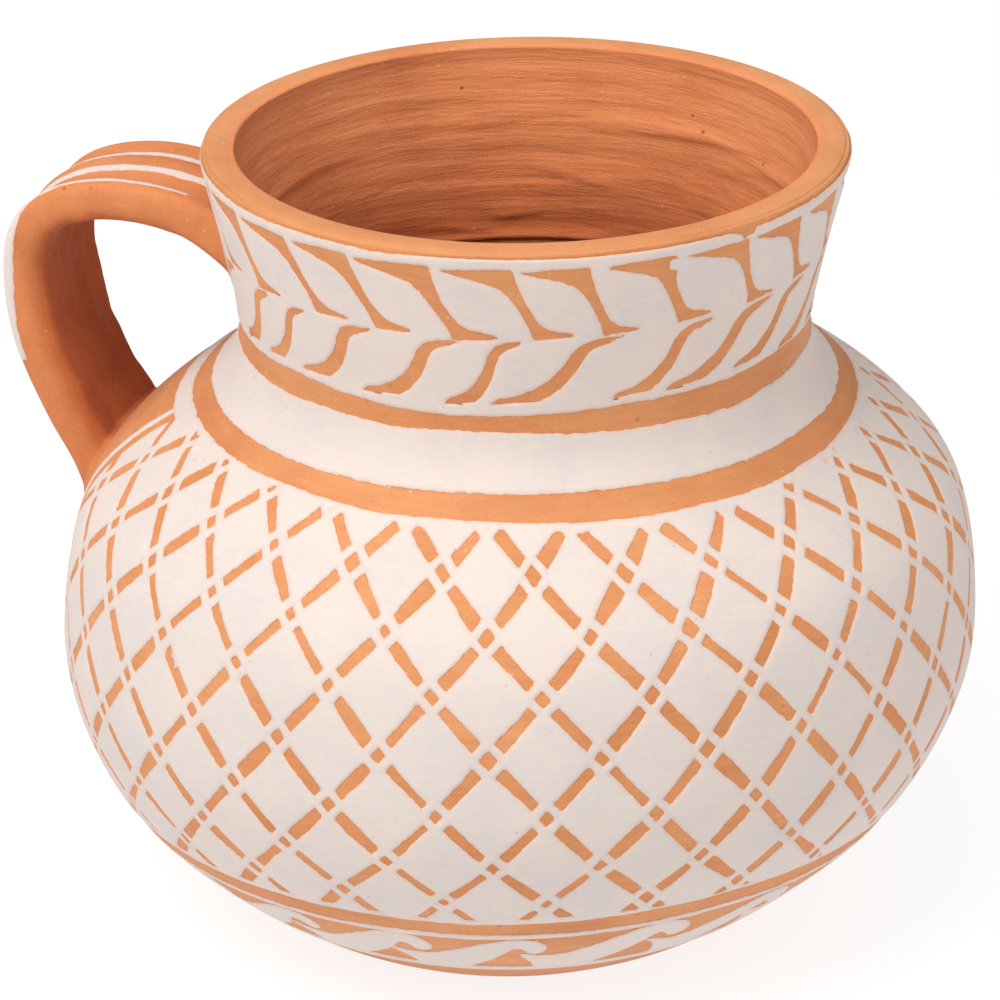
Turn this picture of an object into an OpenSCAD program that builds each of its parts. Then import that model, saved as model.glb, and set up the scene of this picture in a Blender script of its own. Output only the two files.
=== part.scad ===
// Ceramic water pitcher: a thrown red clay belly, a flared neck collar, a strap
// handle luted on with clay, and thin layers of painted white slip.
// Millimetres. Z is up, the base stands on z = 0, the handle points towards -X.

/* [Belly] */
// Radius of the flat foot the pitcher stands on
foot_r = 57; // [45:0.5:65]
// Radius of the belly low on its flank, at 8 percent of the total height
flank_low_r = 74.5; // [60:0.5:85]
// Radius of the belly at 17 percent of the total height
flank_mid_r = 89.4; // [75:0.5:98]
// Radius of the belly at 29 percent of the total height
flank_high_r = 99; // [85:0.5:101]
// Largest radius of the belly
belly_r = 101.2; // [85:0.1:110]
// Height of the widest place on the belly
belly_z = 67; // [55:1:80]
// Radius of the shoulder at 54 percent of the total height
shoulder_low_r = 95.8; // [80:0.5:100]
// Radius of the shoulder at 63 percent of the total height
shoulder_high_r = 82.8; // [70:0.5:90]
// Thickness of the thrown belly wall
belly_wall = 6.5; // [4:0.5:10]
// Thickness of the floor
floor_t = 8; // [5:0.5:12]

/* [Neck and lip] */
// Radius at the waist, where the neck collar is joined on
waist_r = 61.8; // [50:0.1:70]
// Height of the waist
waist_z = 132; // [120:1:140]
// Height of the joint between the belly and the neck collar
joint_z = 131; // [125:0.5:135]
// Outer radius just under the lip
lip_r = 69.2; // [60:0.5:78]
// Total height of the pitcher
height = 174.8; // [150:0.5:200]
// Height of the rounded lip bead
lip_h = 2.2; // [2:0.1:6]
// Thickness of the neck wall
neck_wall = 6.5; // [4:0.5:10]
// How far the belly's mouth stands inward of the neck wall as a seam
seam_ledge = 1.6; // [0:0.1:3]

/* [Handle] */
// Width of the strap
strap_w = 31; // [20:0.5:40]
// Thickness of the strap
strap_t = 9; // [6:0.5:14]
// Farthest reach of the strap's centre line from the pot's axis
strap_reach = 111.6; // [100:0.2:125]
// Height of the top of the strap's centre line
strap_top_z = 155.2; // [140:0.5:165]
// Height at which the strap's centre line meets the belly
strap_foot_z = 80; // [70:1:95]
// Depth of the shallow hollow along the inside of the strap
strap_hollow = 1.2; // [0:0.1:2]
// Extra width of the luting clay round each end of the strap
lute_w = 4; // [1:0.5:6]
// Thickness of the luting clay
lute_t = 2; // [1:0.1:4]

/* [Painted slip] */
// Thickness of a layer of slip
slip_t = 0.4; // [0.2:0.05:0.8]
// Lower and upper height of the line under the lip
rim_line = [170.4, 172.5]; // [0:0.1:200]
// Lower and upper height of the band of leaves
leaf_band = [138.8, 170.4]; // [0:0.1:200]
// Lower and upper height of the line above the waist
waist_line = [137.0, 138.8]; // [0:0.1:200]
// Lower and upper height of the plain ring on the shoulder
shoulder_ring = [121.4, 132.2]; // [0:0.1:200]
// Lower and upper height of the lattice on the belly
lattice_field = [34.6, 113.4]; // [0:0.1:200]
// Lower and upper height of the line that closes the top of the lattice
lattice_line = [113.4, 117.2]; // [0:0.1:200]
// Lower and upper height of the line above the band of waves
wave_line = [28.9, 30.4]; // [0:0.1:200]
// Lower and upper height of the band of waves
wave_band = [13.6, 28.6]; // [0:0.1:200]
// Lower and upper height of the line that closes the bottom of the waves
foot_line = [11.6, 13.0]; // [0:0.1:200]
// Width of each painted stripe on the strap
stripe_w = 3.2; // [2:0.1:5]
// Distance of each outer stripe from the middle stripe
stripe_gap = 8; // [6:0.5:12]

/* [Bare panel under the handle] */
// Half of the width of the bare panel
panel_half_w = 27.5; // [22:0.5:35]
// Height of the bottom of the bare panel
panel_bottom_z = 70; // [60:1:78]
// Width of the painted line round the panel
panel_line_w = 2.6; // [1.5:0.1:4]
// Width of the bare line outside it
panel_gap_w = 2.8; // [1.5:0.1:4]

/* [Hidden] */
$fn = 96;
clay = [0.78, 0.47, 0.28];
slip = [0.93, 0.89, 0.85];
step = 3;
far = 400;

// The outer profile's knots, from the foot to just under the lip, as [radius, height]
outer_knots = [
  [foot_r, 0], [flank_low_r, 0.08 * height], [flank_mid_r, 0.172 * height],
  [flank_high_r, 0.287 * height], [belly_r, belly_z], [shoulder_low_r, 0.544 * height],
  [shoulder_high_r, 0.63 * height], [waist_r + 5, waist_z - 10], [waist_r, waist_z],
  [waist_r + 2.3, 0.86 * height], [lip_r, height - lip_h]
];

// The centre line of the strap, from inside the neck round to inside the belly
strap_knots = [
  [waist_r - 4, strap_top_z - 8], [strap_reach - 40.4, strap_top_z - 2.1],
  [strap_reach - 24.4, strap_top_z], [strap_reach - 9.6, strap_top_z - 3],
  [strap_reach - 1.8, strap_top_z - 10.5], [strap_reach, strap_top_z - 22],
  [strap_reach - 2.4, strap_top_z - 36.5], [strap_reach - 7.6, strap_top_z - 50.6],
  [strap_reach - 12.4, strap_top_z - 61], [strap_reach - 17, strap_foot_z]
];

// Slope of a smooth curve at knot i of a list of [radius, height] knots
function knot_slope(k, i) =
  i == 0 ? (k[1][0] - k[0][0]) / (k[1][1] - k[0][1])
  : i == len(k) - 1 ? (k[i][0] - k[i - 1][0]) / (k[i][1] - k[i - 1][1])
  : (k[i + 1][0] - k[i - 1][0]) / (k[i + 1][1] - k[i - 1][1]);
// Number of the knot interval that holds the height z
function span_at(k, z, i = 0) = i >= len(k) - 2 || z <= k[i + 1][1] ? i : span_at(k, z, i + 1);
// Radius of a smooth curve through the knots at the height z
function radius_at(k, z) =
  let (
    i = span_at(k, z),
    h = k[i + 1][1] - k[i][1],
    t = (z - k[i][1]) / h
  )
  (2 * t ^ 3 - 3 * t ^ 2 + 1) * k[i][0] + (t ^ 3 - 2 * t ^ 2 + t) * h * knot_slope(k, i)
  + (3 * t ^ 2 - 2 * t ^ 3) * k[i + 1][0] + (t ^ 3 - t ^ 2) * h * knot_slope(k, i + 1);

function outer_r(z) = radius_at(outer_knots, z);
// Outward direction of the surface at the height z, in [radius, height]
function outward(z) =
  let (d = [outer_r(z + 0.5) - outer_r(z - 0.5), 1]) [d[1], -d[0]] / norm(d);
// A point of the profile at the height z, moved outward by d
function off_surface(z, d) = [outer_r(z), z] + outward(z) * d;
// Heights from low to high in even steps of about the common step
function heights(low, high) =
  let (n = max(1, round((high - low) / step))) [for (i = [0:n]) low + (high - low) * i / n];
function reversed(a) = [for (i = [len(a) - 1:-1:0]) a[i]];

// Everything inside the outer profile, stretched outward by d, used to trim the handle
module pot_solid(d = 0) {
  rotate_extrude()
    polygon(concat([[0, -1], [foot_r, -1]], [for (z = heights(0, height - lip_h)) off_surface(z, d)],
                   [[0, height - lip_h]]));
}

// A thin ring of slip lying on the clay between two heights
module slip_ring(span) {
  rotate_extrude()
    polygon(concat([for (z = heights(span[0], span[1])) off_surface(z, slip_t)],
                   [for (z = reversed(heights(span[0], span[1]))) off_surface(z, 0)]));
}

// The upright outline of the bare panel, grown by d on its sides and bottom
module panel_outline(d) {
  w = panel_half_w + d;
  translate([-w, panel_bottom_z - d + w * 0.55]) square([2 * w, far]);
  intersection() {
    translate([0, panel_bottom_z - d + w * 0.55]) scale([1, 0.55]) circle(w);
    translate([-w, 0]) square([2 * w, panel_bottom_z - d + w * 0.55 + 1]);
  }
}

// The panel outline as a solid that passes through the handle side of the pot
module panel_block(d) {
  rotate([90, 0, -90]) linear_extrude(far) panel_outline(d);
}

// A point on a smooth curve through 2D knots: p0 to p3 around the interval, t from 0 to 1
function between(p0, p1, p2, p3, t) =
  0.5 * (2 * p1 + (p2 - p0) * t + (2 * p0 - 5 * p1 + 4 * p2 - p3) * t ^ 2
         + (3 * p1 - p0 - 3 * p2 + p3) * t ^ 3);
// The strap's centre line at u, from 0 in the neck to 1 in the belly
function strap_at(u) =
  let (
    n = len(strap_knots) - 1,
    i = min(n - 1, floor(u * n)),
    t = u * n - i,
    p = strap_knots
  )
  between(p[max(0, i - 1)], p[i], p[i + 1], p[min(n, i + 2)], t);
// Direction of the centre line at u, and the direction out of its outer face
function strap_along(u) =
  let (d = strap_at(min(1, u + 0.01)) - strap_at(max(0, u - 0.01))) d / norm(d);
function strap_out(u) = let (a = strap_along(u)) [-a[1], a[0]];

// Width and thickness of the strap at u: it spreads where it meets the pot
function strap_half_w(u) = strap_w / 2 + 3 * max(0, 1 - u / 0.16) ^ 2 + 2 * max(0, (u - 0.8) / 0.2) ^ 2;
function strap_half_t(u) = strap_t / 2 + 2.4 * max(0, 1 - u / 0.16) ^ 2;

function power(a, n) = sign(a) * abs(a) ^ n;
// The strap's cross-section at angle a: [across, outward], a soft rectangle hollowed inside
function strap_section(a, hw, ht) =
  let (
    x = hw * power(cos(a), 0.45),
    y = ht * power(sin(a), 0.55)
  )
  [x, y + (y < 0 ? strap_hollow * (1 - (x / hw) ^ 2) : 0)];
// The same point in space: the strap lies in the plane y = 0, reaching towards -X
function strap_point(u, s) =
  let (c = strap_at(u) + strap_out(u) * s[1]) [-c[0], s[0], c[1]];

// A skin over rings of points, closed at both ends
module loft(rings) {
  n = len(rings[0]);
  m = len(rings);
  polyhedron(
    points = [for (ring = rings) each ring],
    faces = concat(
      [[for (j = [n - 1:-1:0]) j]],
      [for (i = [0:m - 2]) for (j = [0:n - 1])
        each [[i * n + j, (i + 1) * n + (j + 1) % n, (i + 1) * n + j],
              [i * n + j, i * n + (j + 1) % n, (i + 1) * n + (j + 1) % n]]],
      [[for (j = [0:n - 1]) (m - 1) * n + j]]
    )
  );
}

// A length of strap between two places on the centre line, fatter by grow at its ends
module strap_length(u0, u1, grow0 = 0, grow1 = 0, rings = 48) {
  loft([for (i = [0:rings])
    let (
      u = u0 + (u1 - u0) * i / rings,
      g = grow0 + (grow1 - grow0) * i / rings
    )
    [for (a = [0:15:345]) strap_point(u, strap_section(a, strap_half_w(u) + g, strap_half_t(u) + g))]]);
}

// A painted stripe along the outer face of the strap, at a distance across it
module stripe(across, u0, u1) {
  loft([for (i = [0:40])
    let (
      u = u0 + (u1 - u0) * i / 40,
      hw = strap_half_w(u),
      ht = strap_half_t(u)
    )
    [for (s = [[-1, 0], [0, 0], [1, 0], [1, 1], [0, 1], [-1, 1]])
      let (
        x = across + s[0] * stripe_w / 2,
        rise = ht * (1 - abs(x / hw) ^ 4.44) ^ 0.275
      )
      strap_point(u, [x, rise + s[1] * slip_t - 0.05])]]);
}

// The wall from the foot up to the joint, with a floor and a thickened mouth
module belly() {
  color(clay)
    rotate_extrude()
      polygon(concat(
        [[0, 0], [foot_r - 1.5, 0]],
        [for (z = heights(1.5, joint_z)) off_surface(z, 0)],
        [[outer_r(joint_z) - belly_wall - seam_ledge, joint_z]],
        [for (z = reversed(heights(floor_t + 7, joint_z - 4))) off_surface(z, -belly_wall)],
        [[foot_r - 4, floor_t], [0, floor_t]]
      ));
}

// The flared collar with its rounded lip
module neck_collar() {
  bead = (neck_wall + 1) / 2;
  color(clay)
    rotate_extrude()
      polygon(concat(
        [for (z = heights(joint_z, height - lip_h)) off_surface(z, 0)],
        [for (a = [15:15:165])
          [lip_r + 0.5 - bead + bead * cos(a), height - lip_h + lip_h * sin(a)]],
        [for (z = reversed(heights(joint_z, height - lip_h - 2))) off_surface(z, -neck_wall)]
      ));
}

module handle_strap() {
  color(clay)
    difference() {
      strap_length(0, 1, rings = 64);
      pot_solid();
    }
}

// A pad of soft clay on the pot round one end of the strap
module lute(centre_z, half_w, half_h) {
  color(clay)
    difference() {
      intersection() {
        rotate_extrude()
          polygon(concat(
            [for (z = heights(centre_z - half_h - 2, centre_z + half_h + 2)) off_surface(z, lute_t)],
            [for (z = reversed(heights(centre_z - half_h - 2, centre_z + half_h + 2))) off_surface(z, 0)]
          ));
        rotate([90, 0, -90]) linear_extrude(far)
          translate([0, centre_z]) scale([half_w / half_h, 1]) circle(half_h);
      }
      strap_length(0, 1, rings = 64);
    }
}

// Soft clay worked round the end of the strap under the lip
module handle_top_lute() {
  lute(strap_top_z - 3.6, strap_w / 2 + 3 + lute_w, strap_t / 2 + 4.4 + lute_w);
}

// Soft clay worked round the end of the strap on the belly
module handle_foot_lute() {
  lute(strap_foot_z + 9, strap_w / 2 + 2 + lute_w, strap_t / 2 + 7 + lute_w);
}

module rim_slip_line() {
  color(slip) slip_ring(rim_line);
}

module leaf_slip_band() {
  color(slip)
    difference() {
      slip_ring(leaf_band);
      translate([-far / 2, 0, strap_top_z - 7]) rotate([0, -90, 0]) cube([30, strap_w + 14, far], center = true);
    }
}

module waist_slip_line() {
  color(slip) slip_ring(waist_line);
}

module shoulder_slip_ring() {
  color(slip) slip_ring(shoulder_ring);
}

module lattice_slip_line() {
  color(slip) slip_ring(lattice_line);
}

module lattice_slip_field() {
  color(slip)
    difference() {
      slip_ring(lattice_field);
      panel_block(panel_line_w + panel_gap_w);
    }
}

module panel_slip_border() {
  color(slip)
    intersection() {
      slip_ring([lattice_field[0], lattice_field[1]]);
      difference() {
        panel_block(panel_line_w);
        panel_block(0);
      }
    }
}

module wave_slip_line() {
  color(slip) slip_ring(wave_line);
}

module wave_slip_band() {
  color(slip) slip_ring(wave_band);
}

module foot_slip_line() {
  color(slip) slip_ring(foot_line);
}

module stripe_near() {
  color(slip) stripe(-stripe_gap, 0.13, 0.66);
}

module stripe_middle() {
  color(slip) stripe(0, 0.12, 0.66);
}

module stripe_far() {
  color(slip) stripe(stripe_gap, 0.13, 0.66);
}

belly();
neck_collar();
handle_strap();
handle_top_lute();
handle_foot_lute();
rim_slip_line();
leaf_slip_band();
waist_slip_line();
shoulder_slip_ring();
lattice_slip_line();
lattice_slip_field();
panel_slip_border();
wave_slip_line();
wave_slip_band();
foot_slip_line();
stripe_near();
stripe_middle();
stripe_far();
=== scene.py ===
# %% [markdown]
# # A slip painted ceramic pitcher
#
# A round water pitcher, thrown in red clay and painted with white slip before firing. The CAD model gives
# every piece its size and place. This script adds what a ruler cannot: the hand thrown surface, the brushed
# pattern, the clay's grain, and the light. Lengths are in metres, Z is up and the handle reaches towards
# -X.

# %% Load the frame
import math
import bpy
import numpy as np
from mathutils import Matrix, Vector
from mathutils.bvhtree import BVHTree


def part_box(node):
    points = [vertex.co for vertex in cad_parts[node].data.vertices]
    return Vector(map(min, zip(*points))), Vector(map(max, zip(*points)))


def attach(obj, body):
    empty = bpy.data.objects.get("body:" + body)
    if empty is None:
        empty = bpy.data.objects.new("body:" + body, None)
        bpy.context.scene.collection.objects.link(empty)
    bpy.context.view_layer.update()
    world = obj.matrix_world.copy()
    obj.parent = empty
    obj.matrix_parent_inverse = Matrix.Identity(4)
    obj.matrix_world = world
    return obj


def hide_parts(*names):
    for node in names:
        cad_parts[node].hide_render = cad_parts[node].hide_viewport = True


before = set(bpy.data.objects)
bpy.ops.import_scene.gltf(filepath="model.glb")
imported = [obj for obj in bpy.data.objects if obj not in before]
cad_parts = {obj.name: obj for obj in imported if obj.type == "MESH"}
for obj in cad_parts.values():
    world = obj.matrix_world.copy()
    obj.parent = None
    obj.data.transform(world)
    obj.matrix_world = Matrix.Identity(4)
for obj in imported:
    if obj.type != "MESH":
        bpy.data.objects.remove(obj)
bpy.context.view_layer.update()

# %% [markdown]
# ## Helpers for numbers
#
# Hand work is never even. `Ripple` is smooth random unevenness over the pot's angle and height: it repeats
# after one turn, so a painted band closes on itself without a seam. Every use has its own seed, so the pot
# is the same each run.

# %% Smooth unevenness
MM = 0.001
FRONT = math.radians(-90 + 17)
TURN = 2 * math.pi


class Ripple:
    """Smooth noise from -1 to 1 over (angle, height): bumps `size` metres tall and `long` times as wide.

    `around` is the radius it is wrapped at and `tall` the height it covers.
    """

    def __init__(self, seed, size, around=0.09, tall=0.4, long=1.0):
        self.columns = max(3, round(TURN * around / size / long))
        self.size = size
        rows = int(tall / size) + 8
        self.grid = np.random.default_rng(seed).uniform(-1, 1, (rows, self.columns))

    def __call__(self, angle, height):
        across = np.asarray(angle) / TURN * self.columns
        up = np.asarray(height) / self.size + 3
        column = np.floor(across).astype(int)
        row = np.clip(np.floor(up).astype(int), 0, self.grid.shape[0] - 2)
        fx = ease(across - column)
        fy = ease(np.clip(up - row, 0, 1))
        left = column % self.columns
        right = (column + 1) % self.columns
        low = self.grid[row, left] * (1 - fx) + self.grid[row, right] * fx
        high = self.grid[row + 1, left] * (1 - fx) + self.grid[row + 1, right] * fx
        return low * (1 - fy) + high * fy


def ease(t):
    """0 to 1 with a soft start and a soft end."""
    t = np.clip(t, 0, 1)
    return t * t * (3 - 2 * t)


def wrapped(angle):
    """An angle brought to between minus half a turn and half a turn."""
    return (np.asarray(angle) + math.pi) % TURN - math.pi


print("painted front at", round(math.degrees(FRONT)), "degrees")

# %% [markdown]
# ## Reading the pot's shape
#
# The CAD nodes already hold the right profile. Rays shot at them from the side and from the axis give the
# outer and the inner radius at each height, so the visual pot follows the CAD pot even if its dimensions
# change. Only the lip's edge is set a little higher than the CAD's rim line, where a real brush stroke laps
# over it.

# %% Outer and inner profile from the CAD nodes
def node_tree(*names):
    """One search tree over the surfaces of several CAD nodes."""
    points = []
    faces = []
    for name in names:
        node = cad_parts[name]
        start = len(points)
        points += [node.matrix_world @ v.co for v in node.data.vertices]
        faces += [[start + i for i in p.vertices] for p in node.data.polygons]
    return BVHTree.FromPolygons(points, faces)


pot_tree = node_tree("belly", "neck_collar")
BASE_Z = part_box("belly")[0].z
TOP_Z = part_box("neck_collar")[1].z
JOINT_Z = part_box("neck_collar")[0].z
RIM_RISE = 1.3 * MM
RIM_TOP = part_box("rim_slip_line")[1].z
LIP_Z = RIM_TOP + RIM_RISE
OUTSIDE = 0.3


def radius_from(start, towards, z):
    """Distance from the axis of the first wall met by a ray at height z."""
    hit = pot_tree.ray_cast(Vector((start, 0, z)), Vector((towards, 0, 0)))[0]
    return hit.x if hit else None


def smooth(values, reach):
    """A running average with soft weights that keeps both ends."""
    weights = np.hanning(2 * reach + 3)[1:-1]
    weights /= weights.sum()
    before = 2 * values[0] - values[reach:0:-1]
    after = 2 * values[-1] - values[-2:-reach - 2:-1]
    return np.convolve(np.concatenate([before, values, after]), weights, "valid")


heights = np.arange(BASE_Z + 0.4 * MM, LIP_Z, 0.5 * MM)
outer = smooth(np.array([radius_from(OUTSIDE, -1, min(z, RIM_TOP)) for z in heights]), 14)
slope = np.gradient(outer, heights)
arc = np.concatenate([[0], np.cumsum(np.hypot(np.diff(outer), np.diff(heights)))])
normal_r = 1 / np.hypot(1, slope)
normal_z = -slope / np.hypot(1, slope)
print("belly radius", outer.max().round(4), "waist radius", outer[heights > 120 * MM].min().round(4))


def arc_at(z):
    """Length along the profile from the foot to the height z."""
    return np.interp(z, heights, arc)


def on_profile(s):
    """Radius, height and outward direction at length s along the profile."""
    return [np.interp(s, arc, a) for a in (outer, heights, normal_r, normal_z)]


# %% [markdown]
# ## Made by hand
#
# A thrown pot leans a little, its rings are never quite level and its wall swells here and there. `by_hand`
# moves any point by the same small amount wherever it belongs, so clay, slip and handle stay together.

# %% The lean and swell shared by all pieces
swell = Ripple(3, 70 * MM)
LEAN_Z = np.array([0, 22, 40, 60, 100, 130, 175]) * MM
LEAN = np.array([-1.3, -1, -0.1, 1, 2.1, 2.3, 2.4]) * MM
FULL_Z = np.array([0, 20, 30, 42, 85, 100, 116, 130]) * MM
FULL = [-0.004, -0.004, 0.003, 0.003, 0.001, 0.002, 0.001, 0]
RIGHT_X, RIGHT_Y = math.cos(FRONT + math.pi / 2), math.sin(FRONT + math.pi / 2)


def by_hand(points):
    """The points with the pot's lean, its tilted rings and its uneven wall, each under 3 mm."""
    points = np.array(points, float)
    x, y, z = points.T
    rise = np.clip(z / TOP_Z, 0, 1)
    side = x * RIGHT_X + y * RIGHT_Y
    lean = np.interp(z, LEAN_Z, LEAN)
    grow = 1 + 0.004 * swell(np.arctan2(y, x), z) * ease(rise * 6)
    grow += np.interp(z, FULL_Z, FULL)
    tilted = z + 0.012 * side * ease(rise * 1.6)
    return np.stack([x * grow + lean * RIGHT_X, y * grow + lean * RIGHT_Y, tilted], 1)


print("the lip leans by", by_hand([[0, 0, TOP_Z]]).round(4)[0, :2])

# %% [markdown]
# ## Helpers for meshes
#
# Every piece is a list of points and faces. Most are grids: rows of points joined by four-sided faces,
# closed into a ring where the piece runs round something. `give` then hangs the piece on the root body and
# hides the CAD nodes it stands for.

# %% Meshes from grids of points
def mesh_piece(name, points, faces):
    """A smooth mesh object made from points and faces."""
    mesh = bpy.data.meshes.new(name)
    mesh.from_pydata(np.asarray(points).tolist(), [], [list(f) for f in faces])
    mesh.validate()
    mesh.polygons.foreach_set("use_smooth", [True] * len(mesh.polygons))
    piece = bpy.data.objects.new(name, mesh)
    bpy.context.scene.collection.objects.link(piece)
    print(name, len(mesh.polygons), "faces")
    return piece


def tube_faces(rows, columns):
    """Quads that join rows of points, each row a closed ring."""
    low = np.arange((rows - 1) * columns)
    after = low + 1 - columns * (low % columns == columns - 1)
    return np.stack([low, after, after + columns, low + columns], 1).tolist()


def end_caps(rows, columns):
    """One face over each end of a tube."""
    return [list(range(columns))[::-1], list(range((rows - 1) * columns, rows * columns))]


def closing_faces(rows, columns):
    """Quads that join a tube's last row back to its first."""
    last = (rows - 1) * columns
    return [[last + i, last + (i + 1) % columns, (i + 1) % columns, i] for i in range(columns)]


def paint_values(piece, name, values):
    """Stores one number per point, for the materials to read."""
    piece.data.attributes.new(name, "FLOAT", "POINT").data.foreach_set("value", np.ravel(values))


def give(piece, role, *nodes):
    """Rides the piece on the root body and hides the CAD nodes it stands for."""
    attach(piece, "root")
    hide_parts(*nodes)
    return piece


# %% [markdown]
# ## Throwing the clay
#
# The belly was thrown first, with its floor, and the collar was added at the waist. Inside, nothing was
# smoothed away: finger ridges climb in a shallow spiral, with laps where the clay was wiped. Outside, the
# wall was scraped and rubbed smooth before painting. The ridges could be a bump in the material, but real
# ridges cast shadows and break the outline, so they are in the mesh.

# %% Throwing ridges
ridge_height = Ripple(11, 30 * MM)
lap_edge = Ripple(12, 55 * MM)
smear = Ripple(13, 3.5 * MM, long=8)
wipe_random = np.random.default_rng(14)
WIPE_LIMITS = [(0, TURN), (0.02, 0.17), (0.12, 0.6), (-0.16, 0.16), (0.25 * MM, 0.75 * MM)]
WIPES = [[wipe_random.uniform(*limits) for limits in WIPE_LIMITS] for wipe in range(70)]
print(len(WIPES), "wipe marks")


def wipe_marks(angle, z):
    """Short laps of clay where a wet finger passed: each rises slowly and ends in a small step.

    A mark has an angle, a height, half its length as an angle, a slant and how far it stands proud.
    """
    height = np.zeros(z.shape)
    for at, level, half, tilt, tall in WIPES:
        off = wrapped(angle - at)
        near = (np.abs(off) < half) & (np.abs(z - level) < 14 * MM)
        fade = np.clip(1 - np.abs(off[near]) / half, 0, 1) ** 0.5
        above = z[near] - level - tilt * off[near] * 0.06
        rise = np.clip(1 - above / (4.5 * MM), 0, 1) * ease(above / (0.9 * MM) + 0.5)
        height[near] = np.maximum(height[near], tall * fade * rise)
    return height


def finger_ridges(angle, z):
    """How far the inner wall stands proud, in metres: spiral ridges, laps and smears."""
    wander = 1.6 * MM * lap_edge(angle, z)
    wide = np.sin(TURN * ((z + wander) / (5.2 * MM) - angle / TURN))
    lap = ((z + 4 * wander) / (13 * MM) - angle / TURN) % 1
    ridges = 0.11 * wide * (0.6 + 0.5 * ridge_height(angle, z))
    return MM * (ridges + 0.25 * lap ** 4 + 0.1 * smear(angle, z)) + wipe_marks(angle, z)


def turned(name, profile, sections, inside, hole):
    """A surface of revolution from (radius, height) points.

    `inside` says how ridged each point is, and such rows get the second material. With a `hole` the last row
    joins the first, otherwise both ends are capped.
    """
    profile = np.array(profile)
    inside = np.array(inside)
    angle = np.arange(sections) / sections * TURN
    along = np.gradient(profile, axis=0)
    along /= np.linalg.norm(along, axis=1)[:, None] + 1e-12
    out_r, out_z = along[:, 1], -along[:, 0]
    a, r = np.meshgrid(angle, profile[:, 0])
    z = np.repeat(profile[:, 1][:, None], sections, 1)
    lift = finger_ridges(a, z) * inside[:, None]
    r = np.maximum(r + out_r[:, None] * lift, 0)
    z = z + out_z[:, None] * lift
    points = np.stack([r * np.cos(a), r * np.sin(a), z], -1).reshape(-1, 3)
    faces = tube_faces(len(profile), sections)
    faces += (closing_faces if hole else end_caps)(len(profile), sections)
    piece = mesh_piece(name, by_hand(points), faces)
    piece.data.materials.append(None)
    piece.data.materials.append(None)
    raw = np.repeat(inside > 0, sections)[:len(piece.data.polygons)]
    piece.data.polygons.foreach_set("material_index", raw.astype(int))
    return piece


def inner_wall(low, high, step):
    """Points of the inner wall from high to low, as the CAD node has them."""
    z = np.arange(high, low, -step)
    r = np.array([radius_from(0, 1, h) for h in z])
    return list(zip(smooth(r, 4), z))


# %% [markdown]
# The belly runs from the middle of the underside, out over a worn foot, up the wall, over the joint and
# down the inside to the floor. One closed outline turned round the axis gives all of it, as a template
# would on a real wheel.

# %% The belly
s_joint = arc_at(JOINT_Z)
wall = list(zip(*on_profile(np.arange(1.6 * MM, s_joint, 1.7 * MM))[:2]))
foot_r = outer[0]
under = [(foot_r * t, BASE_Z + 0.5 * MM * (1 - t)) for t in (0.02, 0.3, 0.6, 0.85, 0.95)]
foot = [(foot_r + x * MM, BASE_Z + z * MM) for x, z in ((-1.2, 0), (-0.3, 0.2), (0.2, 0.8))]
mouth_r = radius_from(0, 1, JOINT_Z - 0.6 * MM)
mouth = [(np.interp(s_joint, arc, outer), JOINT_Z)]
mouth += [(mouth_r + x * MM, JOINT_Z - z * MM) for x, z in ((3, 0), (0.8, 0), (0, 0.7))]
down = inner_wall(BASE_Z + 16 * MM, JOINT_Z - 2 * MM, 1.9 * MM)
floor_z = BASE_Z + 8 * MM
bowl_r, bowl_z = down[-1]
bend = np.linspace(0.12, 1.5, 14)
bowl = list(zip(bowl_r * np.cos(bend) ** 0.5, floor_z + (bowl_z - floor_z) * (1 - np.sin(bend))))
inner_floor = [(bowl[-1][0] * t, floor_z) for t in (0.8, 0.6, 0.4, 0.2, 0.02)]
outside = under + foot + wall + mouth
inside = down + bowl + inner_floor
belly = turned("belly_clay", outside + inside, 256, [0] * len(outside) + [1] * len(inside), False)
give(belly, "clay", "belly")

# %% [markdown]
# The collar was thrown as a ring and set on the belly. Its lip is rolled over a fingertip, which leaves a
# fine groove just outside the top, and its inside carries the deepest finger marks of the whole pot. They
# fade out over the last millimetres below the lip.

# %% The neck collar
collar = list(zip(*on_profile(np.arange(s_joint, arc_at(LIP_Z) - 0.2 * MM, 1.2 * MM))[:2]))
lip_in = radius_from(0, 1, RIM_TOP - 2 * MM)
half_lip = (outer[-1] - 0.3 * MM - lip_in) / 2
bead = []
for t in np.radians(np.arange(0, 181, 6)):
    notch = 0.28 * MM * math.exp(-((t - 0.62) / 0.09) ** 2)
    crown = (TOP_Z - LIP_Z - notch) * abs(math.sin(t)) ** 0.8
    bead.append((lip_in + half_lip + (half_lip - notch) * math.cos(t), LIP_Z + crown))
inner_neck = inner_wall(JOINT_Z + 0.4 * MM, RIM_TOP - 1.2 * MM, 0.7 * MM)
RUBBED_BEAD = 21
JUST_RAW = 0.001
ridged = [0] * (len(collar) + RUBBED_BEAD) + [JUST_RAW] * (len(bead) - RUBBED_BEAD)
ridged += (JUST_RAW + ease(np.arange(len(inner_neck)) / 9)).tolist()
neck = turned("neck_clay", collar + bead + inner_neck, 400, ridged, True)
give(neck, "clay", "neck_collar")

# %% [markdown]
# ## Pulling the handle
#
# The strap was pulled from a lump of wet clay between thumb and fingers, which leaves soft edges, a lumpy
# inner side and shallow grooves outside. A section is swept along the CAD strap's centre line, thicker low
# down and wider at both ends, which run a few millimetres into the wall. A curve object with a bevel would
# be quicker, but could not change its section on the way.

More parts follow.
